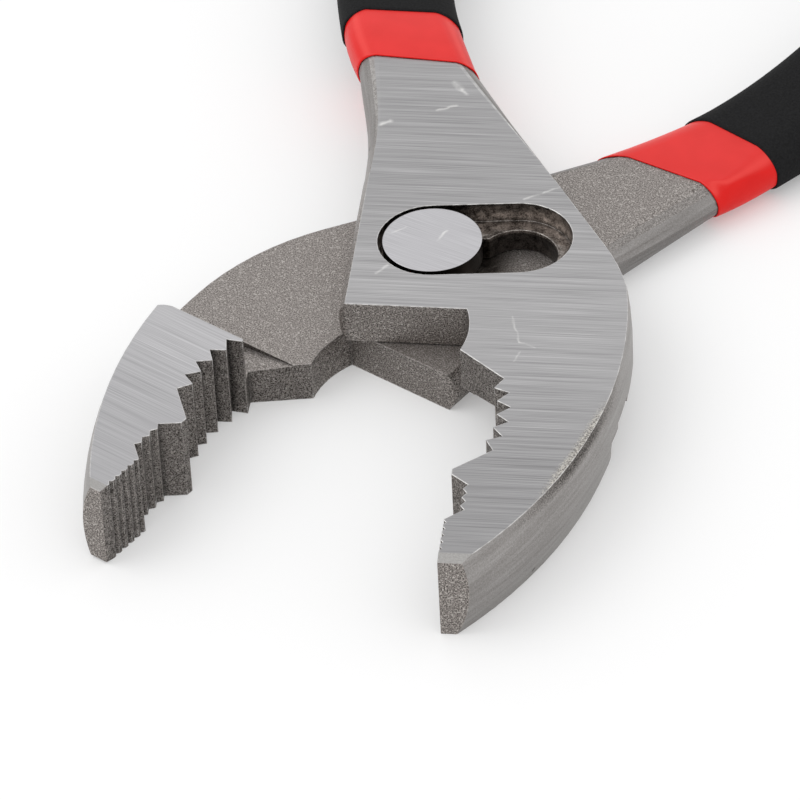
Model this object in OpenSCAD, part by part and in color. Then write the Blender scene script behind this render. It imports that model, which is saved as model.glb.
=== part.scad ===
// Slip joint pliers with a two-place slot, dipped sleeves and outer grips.
// Millimetres. The pivot axis is Z through the origin, the pliers lie on z = 0,
// and the jaws point to -Y. Each half is drawn in its own frame first: the line
// on which the jaws meet is x = 0, the jaw is on +X and the ground face is up.

/* [Head] */
// Thickness of the jaws and of the closed joint
head_t = 9.8; // [9:0.1:11]
// Thickness of the slotted half where it crosses the other half
slotted_plate_t = 5; // [4.6:0.1:5.4]
// Running gap between the crossed plates
lap_gap = 0.1; // [0.05:0.01:0.2]
// From the pivot line to the jaw tips
jaw_reach = 51; // [42:0.5:58]
// From the pivot line to the step where the jaw gets its full thickness
step_reach = 24.1; // [22.5:0.1:25]
// Width of the clearance between the lap face and the step
clearance_w = 4.3; // [2:0.1:5]
// Full depth of that clearance
clearance_depth = 0.7; // [0.2:0.05:1]
// Length over which it deepens, from the throat outwards
clearance_run = 8; // [5:0.5:12]
// Plan radius of the step's outer corner
step_corner_r = 2.4; // [1:0.1:3]
// From the closing line to the slotted half's ground edge at its widest place
slotted_widest_x = 15.75; // [15:0.05:18]
// From the closing line to the pinned half's ground edge at its widest place
pinned_widest_x = 15.4; // [15:0.05:18]
// From the pivot line to the widest place
widest_reach = 15.5; // [14:0.1:17]
// Plan radius of the jaw's back
back_r = 54; // [50:0.5:58]
// Radius of the belly that the back has across its thickness
belly_r = 15.5; // [12:0.5:30]
// Height of the belly's widest line above the jaw's inner face
belly_h = 5.7; // [4.5:0.1:6]
// Length of the small bevel ground on the tip
tip_bevel = 1.2; // [0.5:0.1:2]
// Angle of that bevel
tip_bevel_angle = 14; // [5:1:25]

/* [Teeth] */
// Gap left between the noses when the jaws are shut
nose_gap = 0.2; // [0.1:0.05:0.4]
// Radius of the pipe grip at the tooth roots
pipe_r = 14; // [12:0.5:18]
// Depth of the pipe grip behind the closing line
pipe_depth = 5.05; // [4:0.05:6]
// How much nearer to the tip than to the throat the pipe grip's middle lies
pipe_shift = 0.6; // [0:0.1:1]
// Number of tooth roots in the pipe grip
pipe_teeth = 6; // [4:1:8]
// Plain run at each end of the pipe grip
pipe_plain = 3.55; // [3:0.05:4.5]
// Height of the pipe grip's teeth
pipe_tooth_h = 1.35; // [0.8:0.05:1.6]
// Share of the toothed length, from throat to tip, that the point between the two grips takes
beak_share = 0.025; // [0.015:0.005:0.04]
// Share of the toothed length that the small grip takes
small_share = 0.21; // [0.17:0.005:0.25]
// Depth of the small grip behind the closing line
small_depth = 1.95; // [1.2:0.05:2.5]
// Number of tooth roots in the small grip
small_teeth = 4; // [2:1:4]
// Plain run at each end of the small grip
small_plain = 1.5; // [1.2:0.05:1.8]
// Height of the small grip's teeth
small_tooth_h = 0.45; // [0.2:0.05:0.7]
// Share of the toothed length that the flat nose takes
nose_share = 0.191; // [0.15:0.005:0.25]
// Number of fine notches across the nose
nose_notches = 5; // [0:1:5]
// Plain run of the nose at the tip
nose_plain = 1.3; // [0.6:0.1:2]
// Depth of the fine notches
nose_notch_depth = 0.28; // [0.1:0.02:0.4]

/* [Lap plate] */
// How far the throat corner stands over the closing line
throat_x = 1.1; // [0.5:0.1:2]
// From the pivot line to the throat corner
throat_reach = 18.6; // [18:0.1:20]
// How far the hollow wall above the throat curves in
throat_hollow = 0.55; // [0.2:0.05:0.9]
// From the pivot line to the plate's lower edge
plate_reach = 12; // [11.5:0.1:13]
// From the closing line to the plate's straight edge
plate_x = 13.9; // [13.2:0.1:14.6]
// How far the plate's outer side stands out at half its thickness
plate_bulge = 0.8; // [0.4:0.05:1]
// Radius of the plate's corner
plate_corner_r = 1.1; // [0.5:0.1:3]
// Plan radius of the shoulder that leads to the handle
shoulder_r = 29; // [26:0.5:31]
// Angle at which the slotted half's handle leaves the closing line, at its inner edge
slotted_shank_angle = 30.5; // [29:0.5:33]
// From the pivot line to the bend in the slotted half's outer edge
slotted_bend_reach = 17.2; // [15:0.1:18]
// Angle at which the pinned half's handle leaves the closing line, at its inner edge
pinned_shank_angle = 32; // [30:0.5:34]
// From the pivot line to the bend in the pinned half's outer edge
pinned_bend_reach = 5; // [3:0.1:5.4]
// Angle at which the handle's outer edge leaves the closing line
outer_angle = 11; // [9:0.1:12]
// Plan radius of the bend in the outer edge
waist_r = 48; // [40:1:60]

/* [Slip joint] */
// Angle between the jaws as drawn
open_angle = 31; // [24:0.5:32]
// From the closing line to the pivot axis with the jaws in the narrow place
pivot_x = 3; // [2.5:0.1:3.5]
// Distance between the slot's two places
slip = 9; // [8.8:0.1:9.6]
// Tilt of the slot against the pivot line
slot_tilt = 6; // [0:0.5:10]
// Diameter of the pin's head
pin_head_d = 10.5; // [10:0.1:11]
// Thickness of the pin's head
pin_head_t = 2.3; // [1.8:0.1:2.6]
// Radial room round the pin's head in its recess
head_room = 0.55; // [0.3:0.05:0.7]
// Gap under the pin's head
seat_gap = 0.08; // [0.05:0.01:0.15]
// Diameter of the pin's shank over its round sides
shank_d = 8.2; // [7.8:0.1:8.5]
// Width of the pin's shank over its flats
flats_w = 5.6; // [5:0.1:6]
// Radial room round the shank in the slot, and at its flats
slot_room = 0.08; // [0.05:0.01:0.1]
// Diameter of the pin's tail in the pinned half
tail_d = 7; // [6:0.1:7.4]
// Radial room round the tail in its bore
bore_room = 0.04; // [0.02:0.01:0.08]
// Diameter of the riveted end of the tail
rivet_d = 9; // [8.4:0.1:10]
// Depth of the riveted end
rivet_t = 1; // [0.6:0.1:1.4]

/* [Handles] */
// From the pivot line to the place where the plate becomes the handle
handle_start = 10; // [9:0.5:11]
// How far the handle's sides stand out at half its thickness, at the sleeve
side_bulge = 1.1; // [0.8:0.05:1.2]
// Radius along the handle's edges on the inner face
shank_round = 1.9; // [1.2:0.1:1.9]
// Length over which that radius grows in
round_run = 6; // [4:0.5:9]
// Radius along the handle's edges on the ground face, at the sleeve
ground_round = 1.1; // [0.5:0.1:1.5]
// How much the pinned half's ground face is relieved at the sleeve
pinned_relief = 0.8; // [0.8:0.05:1.1]
// From the pivot line to the mouth of the slotted half's red sleeve
sleeve_reach = 30; // [28:0.5:31]
// From the pivot line to the edge of the slotted half's black grip
grip_reach = 38.6; // [37:0.2:44]
// How much nearer to the pivot line the pinned half's sleeve and grip begin
deeper_dip = 1.1; // [0:0.1:1.5]
// From the pivot line to the place where the handle runs straight
elbow_reach = 68; // [60:1:80]
// From the closing line to the straight run of the slotted half's handle
slotted_spread = 17; // [16:0.5:22]
// From the closing line to the straight run of the pinned half's handle
pinned_spread = 20.5; // [18:0.5:23]
// How far the handle's end turns back in
end_inset = 1.5; // [0:0.1:3]
// From the pivot line to the end of the grip
grip_end = 149; // [135:1:165]
// Length over which the handle bar narrows inside the red sleeve
neck_run = 11; // [8:0.5:14]
// Half width of the handle bar beyond that
bar_end_w = 4.9; // [4.4:0.1:5.2]
// Half thickness of the handle bar at its end
bar_end_h = 2; // [1.7:0.1:2.4]
// Radius of the red sleeve's edge over the handle's inner face, at its mouth
crease_r = 1; // [0.8:0.1:2]
// Thickness of the red sleeve
sleeve_t = 0.6; // [0.5:0.05:0.8]
// Thickness of the red sleeve at its mouth
mouth_t = 0.25; // [0.15:0.05:0.4]
// Length over which the red sleeve gets its full thickness
mouth_run = 7; // [4:0.5:8]
// Thickness of the black grip at its edge
grip_edge_t = 0.3; // [0.2:0.05:0.4]
// Half width of the black grip where it is widest
grip_w = 7.6; // [7.2:0.1:9]
// Thickness of the sleeve's closed end, and of the grip's beyond it
end_wall = 2.6; // [2:0.1:4]
// Gap between the bar, the sleeve and the grip
coat_gap = 0.04; // [0.02:0.01:0.08]
// Length over which the grip's lip is rounded
lip_len = 0.6; // [0.3:0.1:0.8]

/* [Hidden] */

ground_steel = "#aeadab";
black_coat = "#1f2022";
red_coat = "#dd2f2a";
// A length beyond every edge, how far a cut runs past the face it leaves by, and its thickness then
far = 200;
past = 1;
cut_t = head_t + 2 * past;
round_fn = 96;
wide_fn = 256;
pinned_plate_t = head_t - slotted_plate_t - lap_gap;

// What sets the two halves apart: plate, relief, angle of the inner edge, bend, spread, dip and widest place
slotted = [slotted_plate_t, 0, slotted_shank_angle, slotted_bend_reach, slotted_spread, 0, slotted_widest_x];
pinned = [pinned_plate_t, pinned_relief, pinned_shank_angle, pinned_bend_reach, pinned_spread, deeper_dip,
          pinned_widest_x];
function plate_of(half) = half[0];
function relief_of(half) = half[1];
function angle_of(half) = half[2];
function bend_of(half) = half[3];
function spread_of(half) = half[4];
function mouth_of(half) = sleeve_reach - half[5];
function rim_of(half) = grip_reach - half[5];
function widest_of(half) = half[6];

wide_place = [pivot_x - slip * cos(slot_tilt), -slip * sin(slot_tilt)];
recess_r = pin_head_d / 2 + head_room;
lobe_r = shank_d / 2 + slot_room;

// Points on an arc round c, from angle a0 to angle a1, in n steps
function arc(c, r, a0, a1, n) =
    [for (i = [0:n]) let (a = a0 + (a1 - a0) * i / n) c + r * [cos(a), sin(a)]];

// Places along the jaw, from the throat to the tip
toothed_len = jaw_reach - throat_reach;
nose_len = nose_share * toothed_len;
nose_reach = jaw_reach - nose_len;
small_len = small_share * toothed_len;
beak_end = nose_reach - small_len;
beak_reach = beak_end - beak_share * toothed_len;

// The pipe grip: roots on one arc, and tips between them on a smaller one
pipe_run = beak_reach - throat_reach;
pipe_reach = throat_reach + pipe_run / 2 + pipe_shift;
pipe_pitch = (pipe_run - 2 * pipe_plain) / (pipe_teeth - 1);
pipe_step = 2 * asin(pipe_pitch / 2 / pipe_r);
pipe_c = [pipe_depth - pipe_r, -pipe_reach];
pipe_edge = [for (i = [0:2 * pipe_teeth - 2])
    let (a = ((pipe_teeth - 1) / 2 - i / 2) * pipe_step, r = pipe_r - (i % 2) * pipe_tooth_h)
    pipe_c + r * [cos(a), sin(a)]];

// The small grip, in the middle of the space between the point and the nose
small_pitch = (small_len - 2 * small_plain) / (small_teeth - 1);
small_edge = [for (i = [0:2 * small_teeth - 2])
    [small_depth - (i % 2) * small_tooth_h, -beak_end - small_plain - i / 2 * small_pitch]];

// The nose, with its fine notches, each as wide as its share of the spacing
nose_x = nose_gap / 2;
nose_pitch = (nose_len - nose_plain) / max(nose_notches, 1);
notch_share = 0.64;
nose_edge = [for (i = [0:1:nose_notches - 1], side = [-1, 0, 1])
    [nose_x + (side == 0 ? nose_notch_depth : 0),
     -nose_reach - (i + (1 + side * notch_share) / 2) * nose_pitch]];

jaw_edge = concat([[-throat_x, -throat_reach]], pipe_edge,
    [[nose_x, -beak_reach], [nose_x, -beak_end]], small_edge,
    [[nose_x, -nose_reach]], nose_edge, [[nose_x, -jaw_reach]]);

// The hollow wall between the plate's lower edge and the throat
throat_half = (throat_reach - plate_reach) / 2;
throat_r = (pow(throat_half, 2) + pow(throat_hollow, 2)) / (2 * throat_hollow);
throat_angle = asin(throat_half / throat_r);
throat_steps = 8;
throat_edge = arc([-throat_x + throat_hollow - throat_r, -(plate_reach + throat_reach) / 2],
    throat_r, throat_angle, -throat_angle, throat_steps);

// The belly across the back's thickness: its centre puts the ground edge on back_r
belly_c = back_r - sqrt(pow(belly_r, 2) - pow(head_t - belly_h, 2));
function belly_x(half) = widest_of(half) + belly_c + belly_r - back_r;

// The shoulder touches the belly's widest line and runs out into the handle's straight edge
function shoulder_c(half) = [belly_x(half) - shoulder_r, -widest_reach];
function shank_start(half) = shoulder_c(half) + shoulder_r * [cos(angle_of(half)), sin(angle_of(half))];

// The outer edge is straight along the plate, then an arc, then straight again
function waist_start(half) = bend_of(half) - waist_r * tan(outer_angle / 2);
function waist_end(half) = waist_start(half) + waist_r * sin(outer_angle);
waist_depth = waist_r * (1 - cos(outer_angle));

// The ground face's two edges along the handle, at a distance y from the pivot line
function inner_edge(half, y) =
    let (start = shank_start(half)) start[0] - (y - start[1]) * tan(angle_of(half));
function outer_edge(half, y) =
    let (run = y - waist_start(half))
    -plate_x - (y > waist_end(half) ? waist_depth + (y - waist_end(half)) * tan(outer_angle)
                : run > 0 ? waist_r - sqrt(pow(waist_r, 2) - pow(run, 2)) : 0);

// The handle's slope where it enters the sleeve, and the ends inside the coats
function bar_slope(half) = -(tan(angle_of(half)) + tan(outer_angle)) / 2;
sleeve_end = grip_end - end_wall;
bar_end = sleeve_end - end_wall;

// How far y has come on its way from one place to another, plain and eased at both ends
function share(y, from, to) = max(0, min(1, (y - from) / (to - from)));
function smooth(u) = u * u * (3 - 2 * u);
function bare(half, y) = share(y, handle_start, mouth_of(half));
function settled(half, y) = smooth(share(y, mouth_of(half), elbow_reach));
function swollen(half, y) = smooth(share(y, rim_of(half), elbow_reach));
function between(a, b, u) = a + (b - a) * u;

// The handle bar's half width and half thickness: bare first, then less inside the sleeve
function bar_w(half, y) =
    let (mouth = mouth_of(half), m = min(y, mouth))
    between((inner_edge(half, m) - outer_edge(half, m)) / 2, bar_end_w,
        1 - pow(1 - share(y, mouth, mouth + neck_run), 2));
function bar_h(half, y) =
    between((plate_of(half) - relief_of(half) * bare(half, y)) / 2, bar_end_h,
        share(y, mouth_of(half), bar_end));

// The handle's middle line: it leaves as the bar does, then runs straight and turns in a little
function middle_x(half, y) =
    let (mouth = mouth_of(half), m = min(y, mouth), u = share(y, mouth, elbow_reach),
         run = elbow_reach - mouth)
    between((inner_edge(half, m) + outer_edge(half, m)) / 2, -spread_of(half), smooth(u))
    + u * pow(1 - u, 2) * run * bar_slope(half) + end_inset * pow(share(y, elbow_reach, grip_end), 2);

// The handle's middle height: from the plate's own to the middle of the head
function middle_z(half, y) =
    between(head_t - (plate_of(half) + relief_of(half) * bare(half, y)) / 2, head_t / 2,
        settled(half, y));

// The radii on the bar's edges: sharp at the plate, rounder towards the sleeve and inside it
sharp_r = 0.1;
function ground_r(half, y) =
    between(between(sharp_r, ground_round, smooth(bare(half, y))), shank_round, settled(half, y));
function inner_r(y) =
    between(sharp_r, shank_round, smooth(share(y, handle_start, handle_start + round_run)));

// How far a side stands out at half the thickness: the outer one (-1) does so from the plate on, the
// inner one (1) only past the shoulder, and both flatten out again inside the coats
function bulge(half, y, side) =
    between(side < 0 ? plate_bulge : 0, side_bulge, smooth(bare(half, y))) * (1 - settled(half, y));

// One upright section: a rounded rectangle with its sides pushed out by bulges, and its own radius on
// the ground face's corners and on the inner face's, both kept a little under its half width and height
corner_steps = 4;
side_steps = 3;
corner_limit = 0.95;
function section(half, y, w, h, top_r, low_r, puffed) =
    let (ground = corner_limit * min(top_r, w, h), inner = corner_limit * min(low_r, w, h))
    [for (q = [0:3], i = [0:q % 2 == 0 ? corner_steps : corner_steps + side_steps])
        let (r = q < 2 ? ground : inner, side = q == 0 || q == 3 ? 1 : -1, face = q < 2 ? 1 : -1,
             a = 90 * (q + min(i / corner_steps, 1)), along = max(0, i - corner_steps) / (side_steps + 1),
             z = between(face * (h - r) + r * sin(a), -face * (h - (q < 2 ? inner : ground)), along),
             out = puffed * bulge(half, y, side) * (1 - pow(z / h, 2)))
        [middle_x(half, y) + side * (w - r + out) + r * cos(a), y, middle_z(half, y) + z]];

// The bar's section, grown by the same amount on every side
function bar_section(half, y, grow) =
    section(half, y, bar_w(half, y) + grow, bar_h(half, y) + grow, ground_r(half, y) + grow,
        inner_r(y) + grow, 1);

// The sleeve's section: its edge over the inner face is creased at the mouth and rounder at the grip
function sleeve_section(half, y, grow) =
    let (low_r = between(crease_r, inner_r(y) + grow, smooth(share(y, mouth_of(half), rim_of(half)))))
    section(half, y, bar_w(half, y) + grow, bar_h(half, y) + grow, ground_r(half, y) + grow, low_r, 1);

// How much a coat is still thinner at y, on the way from its edge to its full thickness
function thinner(y, start, run, depth) = depth * pow(1 - share(y, start, start + run), 2);

// The grip's section: it follows the sleeve at its edge, then swells to the head's thickness
thin_edge = 0.05;
function grip_section(half, y) =
    let (s = swollen(half, y), full_r = head_t / 2,
         edge = sleeve_t + grip_edge_t - thinner(y, rim_of(half), lip_len, grip_edge_t - thin_edge))
    section(half, y, between(bar_w(half, y) + edge, grip_w, s), between(bar_h(half, y) + edge, full_r, s),
        between(ground_r(half, y) + edge, full_r, s), between(inner_r(y) + edge, full_r, s), 1 - s);

// Rounded ends: a section moved along to y and drawn in towards its middle
function drawn_in(half, ring, y, keep) =
    [for (p = ring) let (m = [middle_x(half, p[1]), y, middle_z(half, p[1])])
        [m[0] + (p[0] - m[0]) * keep, y, m[2] + (p[2] - m[2]) * keep]];
cap_steps = 4;
cap_angle = 84;
function end_rings(half, ring, cap) = [for (i = [1:cap_steps])
    let (a = cap_angle * i / cap_steps) drawn_in(half, ring, ring[0][1] + cap * sin(a), cos(a))];

// Places of the sections: shared, so that the coats lie on each other, and closer near the plate
bare_steps = 9;
bare_bias = 1.3;
sleeve_steps = 3;
bend_steps = 8;
straight_steps = 6;
lip_places = [lip_len / 4, lip_len];
function bare_places(half) = [for (i = [1:bare_steps - 1])
    between(handle_start, mouth_of(half), pow(i / bare_steps, bare_bias))];
function grip_places(half) = concat(
    [for (i = [0:bend_steps]) between(rim_of(half), elbow_reach, i / bend_steps)],
    [for (i = [1:straight_steps]) between(elbow_reach, bar_end, i / straight_steps)]);
function sleeve_places(half) = concat(
    [for (i = [0:sleeve_steps - 1]) between(mouth_of(half), rim_of(half), i / sleeve_steps)],
    grip_places(half));
function with_lip(ys) =
    concat([ys[0]], [for (d = lip_places) ys[0] + d], [for (i = [1:len(ys) - 1]) ys[i]]);

// Triangles of the wall between two neighbouring rings, and of a flat end, spread from a corner's middle
function wall(first, n, flip) = [for (i = [0:n - 1])
    let (a = first + i, b = first + (i + 1) % n, c = a + n, d = b + n)
    each flip ? [[a, d, b], [a, c, d]] : [[a, b, d], [a, d, c]]];
function lid(first, n, flip) = [for (i = [1:n - 2])
    let (hub = corner_steps / 2, a = first + (hub + i) % n, b = first + (hub + i + 1) % n)
    flip ? [first + hub, b, a] : [first + hub, a, b]];
function walls(first, n, rings, flip) = [for (k = [0:rings - 2]) each wall(first + k * n, n, flip)];

// A closed solid through a list of rings
module loft(rings) {
    n = len(rings[0]);
    last = (len(rings) - 1) * n;
    polyhedron(points = [for (r = rings) each r],
        faces = concat(lid(0, n, true), walls(0, n, len(rings), false), lid(last, n, false)));
}

// A cup, open at its first ring: an outer skin, an inner skin and the lip between them
module cup(outer, inner) {
    n = len(outer[0]);
    m = len(outer) * n;
    rim = [for (i = [0:n - 1]) let (j = (i + 1) % n) each [[i, m + j, j], [i, m + i, m + j]]];
    polyhedron(points = [for (r = concat(outer, inner)) each r],
        faces = concat(walls(0, n, len(outer), false), lid(m - n, n, false),
            walls(m, n, len(inner), true), lid(m + (len(inner) - 1) * n, n, true), rim));
}

// Plan outline of a half up to its handle, with its curved outer sides still uncut and a little wide
corner_arc_steps = 6;
crest_room = 0.05;
module blank_outline(half) {
    wide = belly_x(half) + past;
    start = shank_start(half);
    crest = plate_bulge + crest_room;
    corner_c = [plate_corner_r - plate_x - crest, plate_corner_r - plate_reach];
    corner = arc(corner_c, plate_corner_r, 180, 270, corner_arc_steps);
    polygon(concat([[outer_edge(half, handle_start) - crest, handle_start]], corner, throat_edge,
        [for (i = [1:len(jaw_edge) - 1]) jaw_edge[i]],
        [[wide, -jaw_reach], [wide, start[1] - (wide - start[0]) / tan(angle_of(half))],
         [inner_edge(half, handle_start), handle_start]]));
}

// The jaw's back: a disc with a belly across its thickness, running past both faces
module back_disc(half) {
    translate([widest_of(half) - back_r, -widest_reach, 0]) rotate_extrude($fn = wide_fn) intersection() {
        translate([0, -past]) square([back_r + belly_r, cut_t]);
        union() {
            translate([0, -past]) square([back_r - belly_r / 2, cut_t]);
            translate([belly_c, belly_h]) circle(belly_r, $fn = round_fn);
        }
    }
}

// Profile of what is cut from the plate's outer side: its right edge is hollowed by the side's belly
module side_profile(half, depth) {
    belly = (pow(plate_of(half) / 2, 2) + pow(plate_bulge, 2)) / (2 * plate_bulge);
    difference() {
        translate([0, -past]) square([depth, cut_t]);
        translate([depth + belly - plate_bulge, head_t - plate_of(half) / 2]) circle(belly, $fn = round_fn);
    }
}

// What is cut from the plate's outer side: along its straight edge, round the bend and beyond
module outer_side(half) {
    translate([-plate_x - waist_r, waist_start(half), 0]) {
        rotate([90, 0, 0]) linear_extrude(far) side_profile(half, waist_r);
        rotate_extrude($fn = wide_fn) side_profile(half, waist_r);
        rotate([90, 0, 180 + outer_angle]) mirror([1, 0, 0]) linear_extrude(far) side_profile(half, waist_r);
    }
}

// What the curved outer sides leave of the outline
module envelope(half) {
    intersection() {
        back_disc(half);
        translate([0, 0, -past]) union() {
            translate(shoulder_c(half)) cylinder(r = shoulder_r, h = cut_t, $fn = wide_fn);
            translate([-far, -far, 0]) cube([2 * far, far - widest_reach, cut_t]);
        }
    }
    translate([-far, shank_start(half)[1], -past]) cube([2 * far, far, cut_t]);
}

// One forged half, ground face up
module forging(half) {
    plate_z = head_t - plate_of(half);
    step_x = widest_of(half) - back_r + sqrt(pow(back_r, 2) - pow(step_reach - widest_reach, 2));
    difference() {
        intersection() {
            linear_extrude(head_t) blank_outline(half);
            envelope(half);
        }
        outer_side(half);
        // The lap, with the clearance along its step, and the step's rounded outer corner
        translate([-far, -step_reach, -past]) cube([2 * far, far, plate_z + past]);
        translate([0, clearance_w - step_reach, plate_z]) rotate([90, 0, 0]) linear_extrude(clearance_w)
            polygon([[-throat_x, -past], [-throat_x, 0], [clearance_run - throat_x, clearance_depth],
                     [far, clearance_depth], [far, -past]]);
        difference() {
            translate([step_x - step_corner_r, -step_reach - step_corner_r, -past])
                cube([2 * step_corner_r, 2 * step_corner_r, plate_z + past]);
            translate([step_x - step_corner_r, -step_reach - step_corner_r, -2 * past])
                cylinder(r = step_corner_r, h = head_t, $fn = round_fn);
        }
        // The small bevel on the tip
        translate([-far / 2, -jaw_reach + tip_bevel, head_t]) rotate([tip_bevel_angle, 0, 0])
            translate([0, -far, 0]) cube(far);
    }
}

// The handle bar, let into the forging by a narrower root and a first section a hair inside its sides
root_depth = 1;
root_keep = 0.85;
side_inset = 0.02;
module bar(half) {
    first = section(half, handle_start, bar_w(half, handle_start) - side_inset, bar_h(half, handle_start),
        sharp_r, sharp_r, 1);
    root = drawn_in(half, first, handle_start - root_depth, root_keep);
    ys = concat(bare_places(half), sleeve_places(half));
    loft(concat([root, first], [for (y = ys) bar_section(half, y, 0)]));
}

module sleeve(half) {
    ys = sleeve_places(half);
    outer = [for (y = with_lip(ys))
        sleeve_section(half, y, sleeve_t - thinner(y, mouth_of(half), mouth_run, sleeve_t - mouth_t))];
    inner = [for (y = concat(ys, [bar_end + coat_gap])) bar_section(half, y, coat_gap)];
    cup(concat(outer, end_rings(half, outer[len(outer) - 1], end_wall)), inner);
}

module grip(half) {
    ys = grip_places(half);
    outer = [for (y = with_lip(ys)) grip_section(half, y)];
    inner = [for (y = concat(ys, [sleeve_end + coat_gap])) bar_section(half, y, sleeve_t + coat_gap)];
    cup(concat(outer, end_rings(half, outer[len(outer) - 1], grip_end - bar_end)), inner);
}

// The slotted half's own place: its wide place on the pivot, ground face up
module place_slotted() {
    rotate([0, 0, open_angle / 2]) translate([-wide_place[0], -wide_place[1], 0]) children();
}

// The pinned half's own place: turned over, its bore on the pivot
module place_pinned() {
    rotate([0, 0, -open_angle / 2]) translate([-pivot_x, 0, head_t]) rotate([0, 180, 0]) children();
}

module slotted_half() color(ground_steel) place_slotted() difference() {
    union() {
        forging(slotted);
        bar(slotted);
    }
    translate([pivot_x, 0, 0]) rotate([0, 0, 180 + slot_tilt]) {
        // The recess for the pin's head
        translate([0, 0, head_t - pin_head_t - seat_gap]) linear_extrude(head_t) union() {
            circle(recess_r, $fn = round_fn);
            translate([slip, 0]) circle(recess_r, $fn = round_fn);
            translate([0, -recess_r]) square([slip, 2 * recess_r]);
        }
        // The two places and the neck between them
        linear_extrude(head_t) union() {
            circle(lobe_r, $fn = round_fn);
            translate([slip, 0]) circle(lobe_r, $fn = round_fn);
            translate([0, -flats_w / 2 - slot_room]) square([slip, flats_w + 2 * slot_room]);
        }
    }
}

module pinned_half() color(ground_steel) place_pinned() difference() {
    union() {
        forging(pinned);
        bar(pinned);
    }
    // The bore, with the countersink that the rivet fills
    translate([-pivot_x, 0, 0]) {
        cylinder(d = tail_d + 2 * bore_room, h = head_t + past, $fn = round_fn);
        translate([0, 0, head_t - rivet_t])
            cylinder(d1 = tail_d + 2 * bore_room, d2 = rivet_d + 2 * bore_room, h = rivet_t, $fn = round_fn);
    }
}

// The pin: tail and shank overlap a little inside the running gap between the plates
tail_share = 0.75;
module pivot_pin() color(ground_steel) {
    tail_z = pinned_plate_t + lap_gap * tail_share;
    shank_z = pinned_plate_t + lap_gap * (1 - tail_share);
    shank_end = head_t - pin_head_t / 2;
    cylinder(d = tail_d, h = tail_z, $fn = round_fn);
    cylinder(d1 = rivet_d, d2 = tail_d, h = rivet_t, $fn = round_fn);
    rotate([0, 0, open_angle / 2 + slot_tilt]) intersection() {
        translate([0, 0, shank_z]) cylinder(d = shank_d, h = shank_end - shank_z, $fn = round_fn);
        translate([-shank_d, -flats_w / 2, 0]) cube([2 * shank_d, flats_w, head_t]);
    }
    translate([0, 0, head_t - pin_head_t]) cylinder(d = pin_head_d, h = pin_head_t, $fn = round_fn);
}

module slotted_sleeve() color(red_coat) place_slotted() sleeve(slotted);

module pinned_sleeve() color(red_coat) place_pinned() sleeve(pinned);

module slotted_grip() color(black_coat) place_slotted() grip(slotted);

module pinned_grip() color(black_coat) place_pinned() grip(pinned);

slotted_half();
pinned_half();
pivot_pin();
slotted_sleeve();
pinned_sleeve();
slotted_grip();
pinned_grip();
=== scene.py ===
import math

import bpy
from mathutils import Matrix, Vector


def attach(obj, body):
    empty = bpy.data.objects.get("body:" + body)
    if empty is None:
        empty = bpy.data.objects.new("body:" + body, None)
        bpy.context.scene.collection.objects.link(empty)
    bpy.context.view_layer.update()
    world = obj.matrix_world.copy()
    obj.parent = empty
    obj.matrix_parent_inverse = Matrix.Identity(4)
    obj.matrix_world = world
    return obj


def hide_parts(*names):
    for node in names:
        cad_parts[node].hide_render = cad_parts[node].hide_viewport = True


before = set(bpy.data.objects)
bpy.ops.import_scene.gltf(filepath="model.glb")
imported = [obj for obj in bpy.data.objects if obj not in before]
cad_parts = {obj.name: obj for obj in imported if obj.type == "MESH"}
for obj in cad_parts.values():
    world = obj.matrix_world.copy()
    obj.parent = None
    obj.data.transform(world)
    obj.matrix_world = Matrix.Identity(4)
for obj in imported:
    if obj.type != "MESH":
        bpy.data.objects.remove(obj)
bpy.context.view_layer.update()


# Slotted half: jaw, lap plate and handle in one piece of carbon steel, drop forged and
# shot-blasted, then belt-ground on its faces. The keyhole slot and the recess round it are
# milled, and the pin rides in them.

# Sizes in millimetres, in a half's own frame: X across the closing line with the jaw on +X, Y along
# that line with the tip on -Y, and the ground face up at Z = HEAD_T
MM = 0.001
HEAD_T = 9.8
OPEN_ANGLE = math.radians(31.0)
SLOT_TILT = math.radians(6.0)
PIVOT_X = 3.0
SLIP = 9.0
NARROW_PLACE = Vector((PIVOT_X, 0.0, 0.0))
WIDE_PLACE = NARROW_PLACE - SLIP * Vector((math.cos(SLOT_TILT), math.sin(SLOT_TILT), 0.0))
RECESS_R = 5.8
RECESS_DEPTH = 2.35
PLATE_T = 5.0
SLOTTED_WIDEST_X = 15.75
BACK_R = 54.0
WIDEST_Y = -15.5
THROAT_Y = -18.6
TIP_Y = -51.0
TIP_BEVEL = 1.2
HANDLE_Y = 10.0

# What the shop left on the steel, and the sizes of the painted glints, of the painted shade in
# crevices and of the painted edge highlights, in millimetres. The blasted grain and the belt lines are
# drawn a little coarser than the shot and the grit leave them, so that they show. The belt reaches
# level faces that lie no deeper than BELT_DEPTH under the two outermost ones.
GRAIN = 0.15
GLINT = 0.14
PATCH = 0.8
MOTTLE = 3.5
BELT_DEPTH = 0.9
BELT_LINE_W = 0.1
BELT_LINE_LEN = 15.0
BELT_BAND_W = 0.5
BELT_BAND_LEN = 30.0
STREAK_H = 0.5
STREAK_LEN = 9.0
PIT_SPACING = 6.0
# How far the painted shade in corners and between teeth reaches
CREVICE_SHADE_W = 0.8
EDGE_R = 0.2
NICK_SWAY = 0.4
NICK_BEND = 1.4
BUMP_DEPTH = {"blasted": 0.03, "satin": 0.012, "oiled": 0.15, "ground": 0.006}
ROUGHNESS = {"blasted": 0.6, "satin": 0.42, "oiled": 0.3, "ground": 0.36}
BRIGHT_STEEL = "#e4e3e1"
# The gain of the painted light and shade on the recess walls
RECESS_WALL_LIGHT = 2.2
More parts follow.
